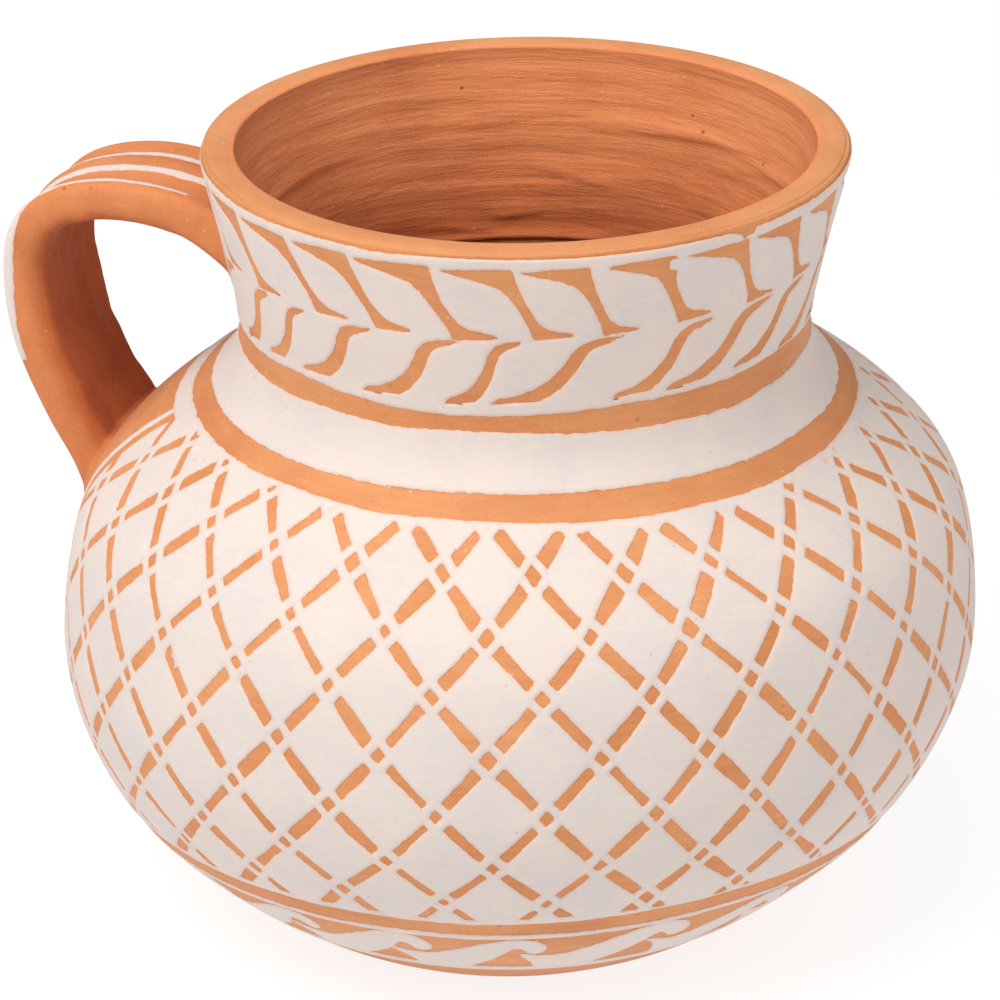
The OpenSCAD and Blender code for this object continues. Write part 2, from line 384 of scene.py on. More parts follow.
# %% The strap's surface
strap_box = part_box("handle_strap")
HALF_W = 15.5 * MM
HALF_T = 4.5 * MM
REACH = -strap_box[0].x - HALF_T + 0.4 * MM
CREST = strap_box[1].z - HALF_T + 0.7 * MM
strap_knots = [(-60, -13.8), (-41.5, -3.2), (-25, 0), (-10, -2.5), (-1.8, -9.9), (0, -22), (-2.6, -36.5)]
strap_knots += [(-8.8, -51), (-15.2, -62), (-20.6, -75.6)]
knots = np.array(strap_knots) * MM + (REACH, CREST)


def smooth_path(points, samples):
    """A smooth curve through the points, evenly numbered between them."""
    n = len(points) - 1
    padded = np.vstack([points[0], points, points[-1]])
    u = np.linspace(0, n, samples)
    i = np.minimum(u.astype(int), n - 1)
    t = (u - i)[:, None]
    p0, p1, p2, p3 = [padded[i + k] for k in range(4)]
    square = (2 * p0 - 5 * p1 + 4 * p2 - p3) * t ** 2
    cube = (3 * p1 - p0 - 3 * p2 + p3) * t ** 3
    return 0.5 * (2 * p1 + (p2 - p0) * t + square + cube)


def lengths(points):
    """The length along a line of points, at each of them."""
    return np.concatenate([[0], np.cumsum(np.linalg.norm(np.diff(points, axis=0), axis=1))])


def rounded_section(half_w, half_t, corner, count):
    """Evenly spaced points round a rounded rectangle, as fractions of its half width and half thickness."""
    flat_w, flat_t = half_w - corner, half_t - corner
    bend = np.linspace(0, math.pi / 2, 9)
    outline = []
    for k, (sx, sy) in enumerate([(1, 1), (-1, 1), (-1, -1), (1, -1)]):
        t = bend + k * math.pi / 2
        outline += list(zip(sx * flat_w + corner * np.cos(t), sy * flat_t + corner * np.sin(t)))
    outline = np.array(outline + outline[:1])
    run = lengths(outline)
    even = np.linspace(0, run[-1], count, endpoint=False)
    return np.interp(even, run, outline[:, 0]) / half_w, np.interp(even, run, outline[:, 1]) / half_t


ROWS = 240
EDGE = 72
line = smooth_path(knots, ROWS)
along = np.gradient(line, axis=0)
along /= np.linalg.norm(along, axis=1)[:, None]
out = np.stack([-along[:, 1], along[:, 0]], 1)
u = np.linspace(0, 1, ROWS)
flare = np.maximum(0, 1 - u / 0.16) ** 2
spread = np.maximum(0, (u - 0.8) / 0.2) ** 2
pull = Ripple(21, 16 * MM, 0.03)
lump = Ripple(22, 4.5 * MM, 0.03)
cosine, sine = rounded_section(HALF_W, HALF_T, 2.4 * MM, EDGE)
turn = np.arctan2(sine * HALF_T, cosine * HALF_W)[None, :]
run = u[:, None] * 0.15
across = (HALF_W + 3 * MM * flare + 2 * MM * spread)[:, None] * cosine
thicker = 2 * MM * ease((u - 0.35) / 0.2) * ease((1 - u) / 0.15)
hollow = (1.3 * MM * (1 - cosine ** 2) - thicker[:, None]) * np.clip(-sine, 0, 1)
grooves = 0.35 * MM * np.cos(TURN * across / (16 * MM)) * np.clip(sine, 0, 1)
lumps = (0.3 * MM * lump(turn, run) + 0.25 * MM * pull(turn, run)) * np.clip(-sine * 2, 0, 1)
depth = (HALF_T + 2.2 * MM * flare)[:, None] * sine + hollow + grooves - lumps
depth *= 1 + 0.035 * pull(turn, run)
across *= 1 + 0.02 * pull(np.ones(EDGE)[None, :], run)
strap_r, strap_z = [line[:, k][:, None] + out[:, k][:, None] * depth for k in range(2)]


def kept_shallow(points, deepest):
    """Points moved out along the radius, so that none lies deeper than `deepest` under the surface."""
    x, y, z = np.moveaxis(points, -1, 0)
    r = np.hypot(x, y)
    least = np.interp(z, heights, outer) - deepest
    scale = np.maximum(1, least / np.maximum(r, MM))
    return np.stack([x * scale, y * scale, z], -1)


strap = kept_shallow(np.stack([-strap_r, across, strap_z], -1), 3.2 * MM)
strap_faces = tube_faces(ROWS, EDGE) + end_caps(ROWS, EDGE)
handle = mesh_piece("handle_clay", by_hand(strap.reshape(-1, 3)), strap_faces)
give(handle, "clay", "handle_strap")
# Painted shade: darker on the strap's inner face, which faces the pot, and more so towards its foot.
painted_inner_shade = np.clip(-sine * 1.3 + 0.1, 0, 1)[None, :] * ease(u / 0.3)[:, None]
painted_inner_shade = np.maximum(painted_inner_shade, 0.35 * ease((u - 0.5) / 0.3)[:, None])
paint_values(handle, "painted_shade_inner_face", painted_inner_shade)

# %% [markdown]
# Where the strap meets the pot, the potter pressed a little soft clay into the corner and wiped it with a
# finger. That makes a hollow fillet: each cross-line starts on the strap, bends in the corner and ends on
# the pot. It is made by averaging the sharp corner with itself, moved a little both ways along the surface.

# %% The clay worked round both joints
def over_pot(points):
    """Height of each point over the pot's surface, along the radius."""
    x, y, z = np.moveaxis(points, -1, 0)
    return np.hypot(x, y) - np.interp(z, heights, outer)


def surface_point(angle, s, lift):
    """A point at an angle and a length along the profile, lifted off the clay."""
    r, z, nr, nz = on_profile(s)
    r = r + nr * lift
    return np.stack([r * np.cos(angle), r * np.sin(angle), z + nz * lift], -1)


def outward_round(loop):
    """Directions that point away from a closed flat outline, fanning out evenly round its corners."""
    ahead = np.roll(loop, -4, 0) - np.roll(loop, 4, 0)
    normal = np.stack([ahead[:, 1], -ahead[:, 0]], 1)
    normal *= np.sign((normal * (loop - loop.mean(0))).sum())
    return normal / np.linalg.norm(normal, axis=1)[:, None]


def fillet(name, node, rows, reach):
    """A wiped corner between the strap and the pot, up to `reach` wide at each point round the section.

    `rows` run along the strap from inside the pot outward.
    """
    gap = over_pot(strap[rows])
    threads = []
    for j in range(EDGE):
        open_rows = np.nonzero(gap[:, j] > 0)[0]
        k = max(1, open_rows[0] if len(open_rows) else len(rows) - 1)
        t = np.clip(gap[k - 1, j] / (gap[k - 1, j] - gap[k, j] - 1e-9), 0, 1)
        thread = strap[rows[k - 1:], j].copy()
        thread[0] += (thread[1] - thread[0]) * t
        threads.append((lengths(thread), thread))
    corner = np.array([thread[0] for run, thread in threads])
    angle = wrapped(np.arctan2(corner[:, 1], corner[:, 0]) - math.pi)
    flat = np.stack([angle * np.interp(corner[:, 2], heights, outer), arc_at(corner[:, 2])], 1)
    away = outward_round(flat)

    def sharp(q):
        """The unwiped corner: on the strap where q is below 0, on the pot where it is above."""
        if q < 0:
            return np.array([[np.interp(-q * far, run, thread[:, axis]) for axis in range(3)]
                             for far, (run, thread) in zip(reach, threads)])
        low = flat + away * (q * reach)[:, None]
        low_angle = low[:, 0] / on_profile(low[:, 1])[0] + math.pi
        return surface_point(low_angle, low[:, 1], -0.14 * MM * q ** 2)

    rings = []
    for q in np.linspace(-1, 1, 15):
        soft = 0.9 * (1 - abs(q))
        ring = 0.5 * sharp(q) + 0.25 * (sharp(q - soft) + sharp(q + soft))
        proud = ring - corner.mean(0)
        rings.append(ring + 0.15 * MM * (soft - 0.1) * proud / np.linalg.norm(proud, axis=1)[:, None])
    shown_faces = (len(rings) - 1) * EDGE
    rings.append(kept_shallow(corner - (corner - corner.mean(0)) * 0.12, 1.5 * MM))
    faces = tube_faces(len(rings), EDGE) + closing_faces(len(rings), EDGE)
    piece = mesh_piece(name, by_hand(np.array(rings).reshape(-1, 3)), faces)
    piece.data.polygons.foreach_set("use_smooth", np.arange(len(faces)) < shown_faces)
    # The strap's painted shade on its inner face runs on into the fillet and fades towards the pot.
    paint_values(piece, "painted_shade_inner_face", np.linspace(1, 0, len(rings))[:, None] * painted_inner_shade[rows[40]][None, :])
    return give(piece, "clay", node)


fillet("lute_top", "handle_top_lute", np.arange(0, 90), MM * (4.6 - 2.2 * sine))
fillet("lute_foot", "handle_foot_lute", np.arange(ROWS - 1, 130, -1), MM * (4.2 + 1.6 * sine))

# %% [markdown]
# ## Painting with slip
#
# Slip is clay thinned to cream. A brush lays it a quarter of a millimetre thick, with a soft raised edge.
# Each painted area is a real skin: a function says how far every place is inside the paint, in metres, and
# `painted` cuts the skin along the line where it turns to zero. That keeps the edges crisp at any distance.

# %% Cutting a skin along its painted edge
SKIRT = 0.22 * MM
OPEN_DEPTH = 0.3 * MM
DEEPEST = 2.5 * MM


def painted(name, place, outward, inside, closed, lift=0.24 * MM, level=None, part=None):
    """A skin over a grid of places, kept where `inside` is above zero, its rim turned down into the clay.

    `level` is how deep inside the paint a place lies, where that differs because another skin goes on beyond
    the edge. `part` picks a range of the grid's columns.
    """
    level = inside if level is None else level
    columns = inside.shape[1]
    after = (np.arange(columns) + 1) % columns
    first, last = part or (0, columns - (not closed))
    index = {}
    points = []
    depth = []

    def add(key, p, n, f):
        if key not in index:
            index[key] = len(points)
            points.append(p + n * (lift * ease((f + 0.08 * MM) / (0.75 * MM)) + 0.03 * MM))
            depth.append(min(f, DEEPEST))
        return index[key]

    def node(i, j):
        return add((i, j), place[i, j], outward[i, j], level[i, j])

    def crossing(a, b):
        a, b = sorted((a, b))
        t = inside[a] / (inside[a] - inside[b])
        p, n, f = [grid[a] * (1 - t) + grid[b] * t for grid in (place, outward, level)]
        return add((a, b), p, n, f)

    faces = []
    rims = []
    on = inside > 0
    near = np.arange(first, last)
    far = after[near]
    count = on[:-1, near].astype(int) + on[1:, near] + on[:-1, far] + on[1:, far]
    for i, j in zip(*np.nonzero(count)):
        i, j = int(i), int(near[j])
        corners = [(i, j), (i, int(after[j])), (i + 1, int(after[j])), (i + 1, j)]
        if count[i, j - first] == 4:
            faces.append([node(*c) for c in corners])
            continue
        ring = []
        leaving = []
        for k in range(4):
            a, b = corners[k], corners[(k + 1) % 4]
            if on[a]:
                ring.append(node(*a))
            if on[a] != on[b]:
                ring.append(crossing(a, b))
                if on[a]:
                    leaving.append(len(ring) - 1)
        if len(ring) >= 3:
            faces.append(ring)
            rims += [(ring[k], ring[(k + 1) % len(ring)]) for k in leaving if depth[ring[k]] < OPEN_DEPTH]
    between = [(key, v) for key, v in index.items() if isinstance(key[0], tuple)]
    cut = {v: (outward[a] + outward[b]) / 2 for (a, b), v in between}
    low_points = list(dict.fromkeys(v for pair in rims for v in pair))
    sunk = {v: len(points) + k for k, v in enumerate(low_points)}
    lowered = [points[v] - cut[v] * SKIRT for v in low_points]
    faces += [[b, a, sunk[a], sunk[b]] for a, b in rims]
    piece = mesh_piece(name, by_hand(points + lowered), faces)
    paint_values(piece, "paint_depth", np.array(depth + [0] * len(lowered)) / MM)
    return piece


# %% [markdown]
# The skins lie on a grid over the pot, counted by angle and by length along the profile. A brushed edge
# strays from it in three ways: a slow wander, the quiver of the hand and single bristles. Each is a
# `Ripple`.

# %% The grid and the brush
MARGIN = 4 * MM
tremble = Ripple(31, 26 * MM)
quiver = Ripple(32, 3.4 * MM)
bristle = Ripple(33, 1.3 * MM)


def round_pot(low_z, high_z, step):
    """A grid over the pot between two heights: angles, lengths along the profile, places and directions."""
    s = np.arange(arc_at(low_z) - MARGIN, arc_at(high_z) + MARGIN, step)
    s = s[s > 0.5 * MM]
    sections = int(TURN * on_profile(arc_at((low_z + high_z) / 2))[0] / step)
    a, long = np.meshgrid(np.arange(sections) / sections * TURN, s)
    r, z, nr, nz = on_profile(long)
    place = np.stack([r * np.cos(a), r * np.sin(a), z], -1)
    outward = np.stack([nr * np.cos(a), nr * np.sin(a), nz], -1)
    return a, long, r, place, outward


def edge_noise(angle, s, amount=1.0):
    """How far a brushed edge strays at each place, in metres."""
    return amount * MM * (0.16 * tremble(angle, s) + 0.17 * quiver(angle, s) + 0.11 * bristle(angle, s))


def around(angle, degrees, offsets):
    """A slow drift in metres, given in millimetres at some angles right of the pot's painted front."""
    return np.interp(np.degrees(wrapped(angle - FRONT)), degrees, offsets, period=360) * MM


def low_drift(a):
    """The lowest rings rise and sink together, because the pot was turned over to paint them."""
    degrees = [-90, -58, -45, -30, -18, -5, 10, 20, 30, 45, 60, 100]
    return around(a, degrees, [0, -1.6, -1, 0.3, 0.9, 0.6, 1.4, 2, 2.4, 1.6, 0, 0])


def level(a):
    return 0


def band(a, s, low_z, high_z, low_shift=level, high_shift=level):
    """Inside a band between two heights, with hand-drawn edges that drift by the two shifts."""
    low = s - arc_at(low_z) - low_shift(a) + edge_noise(a, s * 0 + 0.01)
    low = low - 0.3 * MM * tremble(a, s * 0 + 0.2)
    high = arc_at(high_z) + high_shift(a) - s + edge_noise(a, s * 0 + 0.03)
    high = high + 0.3 * MM * tremble(a, s * 0 + 0.1)
    return np.minimum(low, high)


def cut_between(s, low, high, low_open, high_open):
    """Inside two heights, each only where another skin goes on beyond it."""
    above = s - arc_at(low) if low_open else 1
    below = arc_at(high) + 0.04 * MM - s if high_open else 1
    return np.minimum(above, below)


def node_span(name):
    """Lower and upper height of a ring in the CAD model."""
    return [corner.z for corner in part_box(name)]


# %% [markdown]
# ### The plain lines and rings
#
# The potter held a loaded brush still and let the pot turn under it, so the rings are even and only their
# edges quiver. Three lines stand by themselves. The others belong to the leaves and the lattice.

# %% Lines and rings
def ring(name, lift, low_shift, high_shift):
    """A plain painted ring in the place of the CAD node of the same name."""
    low, high = node_span(name)
    a, s, r, place, outward = round_pot(low, high, 0.55 * MM)
    inside = band(a, s, low, high, low_shift, high_shift)
    give(painted("paint_" + name, place, outward, inside, True, lift), "slip", name)


def ring_top(a):
    return around(a, [-60, -20, 0, 20, 45, 65], [0, 0.5, 0.3, -0.5, -0.9, -0.3])


def ring_foot(a):
    return around(a, [-45, -10, 40], [-0.4, 0.3, -0.5])


ring("shoulder_slip_ring", 0.26 * MM, ring_foot, ring_top)
ring("wave_slip_line", 0.26 * MM, low_drift, low_drift)
ring("foot_slip_line", 0.24 * MM, level, lambda a: 0.6 * MM)

# %% [markdown]
# ### Brush shapes
#
# The gaps between leaves and the waves are outlines drawn with a few points, in millimetres. `within`
# measures how far a place lies inside such an outline. Copies are spaced round the pot, the ones in front
# listed one by one, and no two are alike, because the potter drew each with one stroke.

# %% Distance to an outline
def within(x, y, outline):
    """Distance inside a closed outline, negative outside."""
    corners = np.array(outline) * MM
    best = np.full(x.shape, 1.0)
    crossed = np.zeros(x.shape, bool)
    for (x0, y0), (x1, y1) in zip(corners, np.roll(corners, -1, 0)):
        ex, ey = x1 - x0, y1 - y0
        t = np.clip(((x - x0) * ex + (y - y0) * ey) / (ex * ex + ey * ey), 0, 1)
        best = np.minimum(best, np.hypot(x - x0 - ex * t, y - y0 - ey * t))
        if y1 != y0:
            crossed ^= ((y0 > y) != (y1 > y)) & (x < ex * (y - y0) / ey + x0)
    return np.where(crossed, best, -best)


def from_front(a, degrees, radius):
    """Distance round the pot from a place some degrees right of the front."""
    return wrapped(a - FRONT - math.radians(degrees)) * radius


def spaced(seen, count, seed):
    """Angles in degrees and widths of `count` copies: some given, the rest filling the circle evenly."""
    random = np.random.default_rng(seed)
    rest = count - len(seen)
    gap = (360 - seen[-1][0] + seen[0][0]) / (rest + 1)
    fill = []
    for k in range(1, rest + 1):
        degrees = seen[-1][0] + gap * (k + random.uniform(-0.06, 0.06))
        fill.append((degrees, random.uniform(0.85, 1.1)))
    return seen + fill


def repeated(a, s, radius, outline, copies, top_s, seed):
    """The deepest of several copies of an outline spaced round the pot, each a little different."""
    random = np.random.default_rng(seed)
    best = np.full(a.shape, -1.0)
    for degrees, wide in copies:
        slant = random.uniform(-0.07, 0.07)
        fat = random.uniform(0, 0.34) * MM
        tall = random.uniform(0.98, 1.03)
        bend = random.uniform(-0.6, 0.6) * MM
        x = from_front(a, degrees, radius)
        near = np.abs(x) < 36 * MM
        y = (s[near] - top_s) / tall
        local_x = (x[near] - slant * y - bend * np.sin(y / (6 * MM))) / wide
        best[near] = np.maximum(best[near], within(local_x, y, outline) + fat)
    return best


# %% [markdown]
# ### Leaves on a vine
#
# Round the neck runs a white vine with slanting leaves above and below. Only the gaps show the clay, so the
# gaps are what is drawn: upper ones hang from the rim line like the figure seven, lower ones sweep down to
# the left. The frieze takes in the two lines that close it, so that paint runs on from one to the other.

# %% The band of leaves
UPPER_GAP = [(-13.6, -0.4), (-6, 0), (0, 0), (0.6, -2.6), (1.5, -5.8), (2.4, -8.4), (3.6, -10.8)]
UPPER_GAP += [(5.3, -13.2), (7.4, -14.6), (12.2, -15.7), (4.4, -16.1), (3.6, -13.6), (2.1, -10.8)]
UPPER_GAP += [(0.5, -8), (-1, -5.5), (-2.9, -3.7), (-5.4, -2.6), (-8.5, -1.7)]
LOWER_GAP = [(-5.9, -0.9), (-3.2, 0), (1.6, 0.3), (-0.6, -0.6), (-3.2, -1.5), (-4.9, -2.7), (-5.8, -4.4)]
LOWER_GAP += [(-7, -7), (-8.6, -9.6), (-10.9, -12.2), (-13.4, -13.8)]
LOWER_GAP += [(-22.2, -14.4), (-21, -13.6), (-17.3, -12.7)]
LOWER_GAP += [(-14.6, -11.3), (-12, -9.3), (-10, -7.1), (-8.8, -5), (-7.9, -3)]
UPPER_SEEN = [(-60.8, 1), (-45.7, 1.05), (-32, 0.95), (-16.8, 1.1), (-2.6, 0.98), (10.4, 0.95)]
UPPER_SEEN += [(25.6, 0.95), (40.9, 1.05), (54.7, 0.98)]
LOWER_SEEN = [(-56.4, 0.65), (-45.4, 0.64), (-30.4, 0.9), (-13.2, 0.98), (-2, 0.66), (16.1, 1.1)]
LOWER_SEEN += [(34.8, 0.96), (49.6, 1.1), (61.5, 0.94)]
NECK_R = 68 * MM
GAP_TOP = node_span("leaf_slip_band")[1] + 0.3 * MM


def leaf_gaps(a, s):
    """Inside the bare gaps between the leaves, the flakes off the rim line, or the handle's root."""
    top_s = arc_at(GAP_TOP)
    upper = repeated(a, s, 66.5 * MM, UPPER_GAP, spaced(UPPER_SEEN, 25, 4), top_s, 5)
    lower = repeated(a, s, 64.5 * MM, LOWER_GAP, spaced(LOWER_SEEN, 24, 6), top_s - 17.6 * MM, 8)
    drop = np.hypot(from_front(a, 26, NECK_R), s - top_s + 1.6 * MM)
    upper = np.minimum(upper, drop - 1.7 * MM)
    flake = np.hypot(wrapped(a - FRONT - 0.7) * NECK_R, (s - top_s - 1.6 * MM) * 2.2)
    flake = 1.6 * MM * bristle(a, s) + 1.2 * MM * quiver(a, s) + 2.4 * MM - flake
    z = np.interp(s, arc, heights)
    root = 1 - np.hypot(wrapped(a - math.pi) * 66 / 19, (z - CREST + 6 * MM) / (10 * MM))
    gaps = np.maximum(upper, lower) + edge_noise(a, s, 0.6)
    return np.maximum(gaps, np.maximum(flake, root * 12 * MM))


def part_of_frieze(name, low_shift=level, low_open=True, high_open=True):
    """One of the three skins that make up the frieze: they meet at an even level, so no seam shows."""
    low, high = node_span(name)
    a, s, r, place, outward = round_pot(low, high, 0.5 * MM)
    whole = np.minimum(band(a, s, waist_low, rim_high, low_shift), -leaf_gaps(a, s))
    inside = np.minimum(whole, cut_between(s, low, high, low_open, high_open))
    give(painted("paint_" + name, place, outward, inside, True, 0.26 * MM, whole), "slip", name)


def waist_edge(a):
    return around(a, [-60, -50, -30, -15, 0, 20, 40, 62, 90], [0, 0.7, -0.4, -0.9, -0.6, 0.2, 0.5, 1.2, 0])


waist_low = node_span("waist_slip_line")[0]
rim_high = RIM_TOP + RIM_RISE
part_of_frieze("waist_slip_line", waist_edge, low_open=False)
part_of_frieze("leaf_slip_band")
part_of_frieze("rim_slip_line", high_open=False)

# %% [markdown]
# ### The lattice
#
# Pairs of thin white lines cross the belly both ways, and the diamonds between them are filled in. What
# stays bare is the strip between each pair: it shows as dashes, cut by the crossing pair, with one small
# square where two strips meet. The strips were left by eye, so they swell, taper and wander. Counting
# places in columns round the pot and rows down it turns both families of strips into whole numbers.

# %% Where the lattice is bare
LATTICE_COLUMNS = 28
ROW_Z = np.array([110.3, 101, 90.2, 77.6, 65, 52.6, 42.2]) * MM
LINE_W = 2.2 * MM
lattice_low, lattice_high = node_span("lattice_slip_field")
line_high = node_span("lattice_slip_line")[1]
row_s = arc_at(ROW_Z)
spacing = -np.diff(row_s).mean()
drift_round = Ripple(41, 34 * MM)
drift_up = Ripple(42, 30 * MM)
wide_one = Ripple(43, 11 * MM)
wide_two = Ripple(44, 11 * MM)


def strip(value, steep, wide):
    """Distance from the middle of the nearest strip, and half the strip's width there."""
    off = np.abs(value - np.round(value)) / steep
    return off, MM * (1.12 + 0.5 * wide)


def bare_strip(own, own_half, other, other_half):
    """Inside the bare strip, cut by the two white lines that cross it."""
    line_far = np.abs(other - other_half - LINE_W / 2) - LINE_W / 2
    return np.minimum(own_half - own, line_far)


def top_edge(a):
    return around(a, [-60, -40, -20, 0, 20, 40, 62, 100], [0.8, 0.7, 0.4, -0.2, -0.8, -0.7, -0.2, 0])


def sag(a):
    degrees = [-107, -50, -35, -10, 10, 28, 40, 55, 90, 130]
    return around(a, degrees, [-2, -1.3, -0.3, 0, 0, -1.7, -3, -4.6, -4.6, -3])


def bare_lattice(a, s, r):
    """Inside the bare dashes and small squares of the lattice."""
    hung = s - sag(a)
    row = np.interp(hung, row_s[::-1], np.arange(len(ROW_Z))[::-1])
    row = np.where(hung > row_s[0], (row_s[0] - hung) / spacing, row)
    row = np.where(hung < row_s[-1], len(ROW_Z) - 1 + (row_s[-1] - hung) / spacing, row)
    theta = np.degrees(wrapped(a - FRONT))
    fan = np.interp(theta, [-107, -55, 0, 55, 110], [0, -1, 0, 1, 0]) * (1 - row / 4)
    theta = theta - (0.5 * row - 1.6 + fan)
    column = (theta - 2.8) / 360 * LATTICE_COLUMNS + 0.035 * drift_round(a, s)
    row = row + 0.05 * drift_up(a, s)
    steep = np.hypot(LATTICE_COLUMNS / (TURN * r), 0.5 / spacing)
    one, half_one = strip(column + row / 2, steep, wide_one(a, s))
    two, half_two = strip(column - row / 2, steep, wide_two(a, s))
    bare = bare_strip(one, half_one, two, half_two)
    bare = np.maximum(bare, bare_strip(two, half_two, one, half_one))
    top_margin = arc_at(line_high) + top_edge(a) - s - 2.1 * MM + 0.9 * MM * quiver(a * 3, s * 0)
    low_margin = s - arc_at(lattice_low) - low_drift(a) - 2 * MM + 0.7 * MM * tremble(a, s)
    return np.minimum(bare, np.minimum(top_margin, low_margin)) + edge_noise(a, s, 0.55)


print(LATTICE_COLUMNS, "columns, rows", round(spacing, 4), "apart")

# %% [markdown]
# The lattice leaves out a panel under the handle, where a brush could not reach. The CAD nodes hold the
# panel's width and depth, so the outline is rebuilt from their boxes: straight sides and a rounded bottom.

# %% The panel under the handle
border_low, border_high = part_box("panel_slip_border")
PANEL_LINE = 2.6 * MM
PANEL_GAP = 2.8 * MM
panel_half = border_high.y - PANEL_LINE
panel_base = border_low.z + PANEL_LINE
print("panel", round(2 * panel_half, 4), "wide")


def beyond_panel(a, s, place):
    """Distance outside the bare panel's outline, seen along the handle."""
    x, y, z = np.moveaxis(place, -1, 0)
    squash = 0.55
    fall = np.maximum(panel_base + panel_half * squash - z, 0) / squash
    away = np.hypot(y, fall) - panel_half
    away = away * (1 - 0.3 * (fall > 0))
    return np.where(x < 0, away + 0.35 * MM * tremble(a, s), 1)


# %% [markdown]
# The filled lattice and the line that closes its top are one layer of paint, so both skins are cut from the
# same function, and only the line runs on over the panel. The big skin is made in two halves, because no
# one mesh should get too heavy. Last comes the thin border round the panel, drawn once the lattice was dry.

# %% The lattice skins
def lattice_skin(name, node, low, high, low_open, high_open, parts):
    """The lattice between two heights, in as many pieces as asked."""
    a, s, r, place, outward = round_pot(low, high, 0.58 * MM)
    whole = band(a, s, lattice_low, line_high, low_drift, top_edge)
    whole = np.minimum(whole, -bare_lattice(a, s, r))
    away = beyond_panel(a, s, place) - PANEL_LINE - PANEL_GAP
    whole = np.minimum(whole, away + edge_noise(a, s, 0.6))
    top_line = band(a, s, lattice_high + 0.5 * MM, line_high, top_edge, top_edge)
    whole = np.maximum(whole, np.minimum(top_line, 2.5 * MM - away))
    scuff_far = np.hypot(wrapped(a - FRONT + 0.83) * 96 * MM, s - arc_at(84 * MM))
    scuff = np.where(scuff_far < 5 * MM, 0.9 * MM * bristle(a, s) - 0.1 * MM, -1)
    whole = np.maximum(whole, scuff)
    inside = np.minimum(whole, cut_between(s, low, high, low_open, high_open))
    ends = [round(a.shape[1] * k / parts) for k in range(parts + 1)]
    for k in range(parts):
        part = (ends[k], ends[k + 1])
        skin = painted(f"{name}_{k + 1}", place, outward, inside, True, 0.24 * MM, whole, part)
        give(skin, "slip", node)


lattice_skin("paint_lattice", "lattice_slip_field", lattice_low, lattice_high, False, True, 2)
lattice_skin("paint_lattice_top", "lattice_slip_line", lattice_high, line_high, True, False, 1)

a, s, r, place, outward = round_pot(panel_base - MARGIN, lattice_high, 0.6 * MM)
away = beyond_panel(a, s, place)
border = np.minimum(away, PANEL_LINE - away) + edge_noise(a, s, 0.7)
border = np.minimum(border, arc_at(lattice_high) + 2 * MM - s)
give(painted("paint_panel_border", place, outward, border, True), "slip", "panel_slip_border")

# %% [markdown]
# ### Running waves
#
# Low on the belly a row of waves runs round the pot. Each was made in one stroke: a thin start under the
# wave before, a full body resting on the line below, and a rounded head that curls over. The row drifts up
# and down with the lines above and below it.

# %% The band of waves
WAVE = [(-34.4, 12.7), (-31.5, 11.2), (-29, 9.9), (-26.5, 9.4), (-23, 10.4), (-19.6, 13), (-16.4, 15.4)]
WAVE += [(-13.4, 17.6), (-10.6, 19.4), (-8, 20.2), (-5, 20.2), (-2.6, 19.2), (-0.7, 17.1), (0, 14.8)]
WAVE += [(-0.6, 12.6), (-2.1, 11.4), (-3.6, 12.1), (-4.5, 14), (-5.4, 15.2), (-6.8, 15), (-7.9, 13)]
WAVE += [(-10.9, 7.6), (-14.6, 3.6), (-18.4, -0.4), (-29, -0.4), (-29.9, 4.8), (-31.6, 8.8)]
WAVE_SEEN = [(-29, 1), (-11.7, 1), (6.2, 1.02), (26.8, 1.1), (44, 0.98)]
wave_low, wave_high = node_span("wave_slip_band")
a, s, r, place, outward = round_pot(wave_low, wave_high + 3 * MM, 0.6 * MM)
wave_s = arc_at(wave_low)
tall = (arc_at(wave_high) - wave_s) / (20.4 * MM)
height = (s - wave_s) / (1 + low_drift(a) / (22 * MM)) / tall + wave_s
waves = repeated(a, height, 81 * MM, WAVE, spaced(WAVE_SEEN, 20, 7), wave_s, 9) + edge_noise(a, s, 0.6)
waves = np.maximum(waves, 0.8 * MM - np.abs(s - wave_s - 0.1 * MM))
give(painted("paint_waves", place, outward, waves, True), "slip", "wave_slip_band")

# %% [markdown]
# ### Stripes on the handle
#
# Three stripes run down the outside of the strap. The one on the near edge joins the middle one past the
# crest and then follows the edge down, until the brush ran dry. Their grid is the strap's own surface,
# measured out evenly across from its middle.

# %% The stripes
rows = np.arange(26, 190)
over_top = np.arange(-6, EDGE // 2 + 6) % EDGE
span = np.linspace(-18.2, 18.2, 92) * MM
place = []
for section in strap[rows][:, over_top]:
    measured = lengths(section)
    middle = np.interp(0, -cosine[over_top], measured)
    place.append([np.interp(span + middle, measured, section[:, axis]) for axis in range(3)])
place = np.moveaxis(np.array(place), 1, 2)
outward = np.cross(np.gradient(place, axis=1), np.gradient(place, axis=0))
outward /= np.linalg.norm(outward, axis=-1)[..., None]
outward *= np.sign(outward[0, len(span) // 2, 2])
uu = np.repeat(u[rows][:, None], len(span), 1)
near_side = 1 if place[0, -1, 1] < place[0, 0, 1] else -1
qq = np.repeat(span[None, :], len(rows), 0) * near_side
hand = Ripple(51, 18 * MM, 0.03)
shake = Ripple(52, 2.2 * MM, 0.03)
ALONG = [0.12, 0.2, 0.3, 0.38, 0.45, 0.52, 0.7]


def stroke(line_q, wide, start, end, shift):
    """Inside a brush stroke whose middle and half-width are given at the places ALONG the strap."""
    centre = np.interp(uu, ALONG, np.array(line_q) * MM) + 0.4 * MM * hand(uu * 6 + shift, uu * 0.1)
    half = np.interp(uu, ALONG, np.array(wide) * MM)
    ends = np.minimum(uu - start, end - uu) * 0.15
    rough = 0.18 * MM * shake(qq * 40 + shift, uu * 0.15) + 0.08 * MM * shake(qq * 90 + shift, uu * 0.34)
    return np.minimum(half - np.abs(qq - centre), ends) + rough


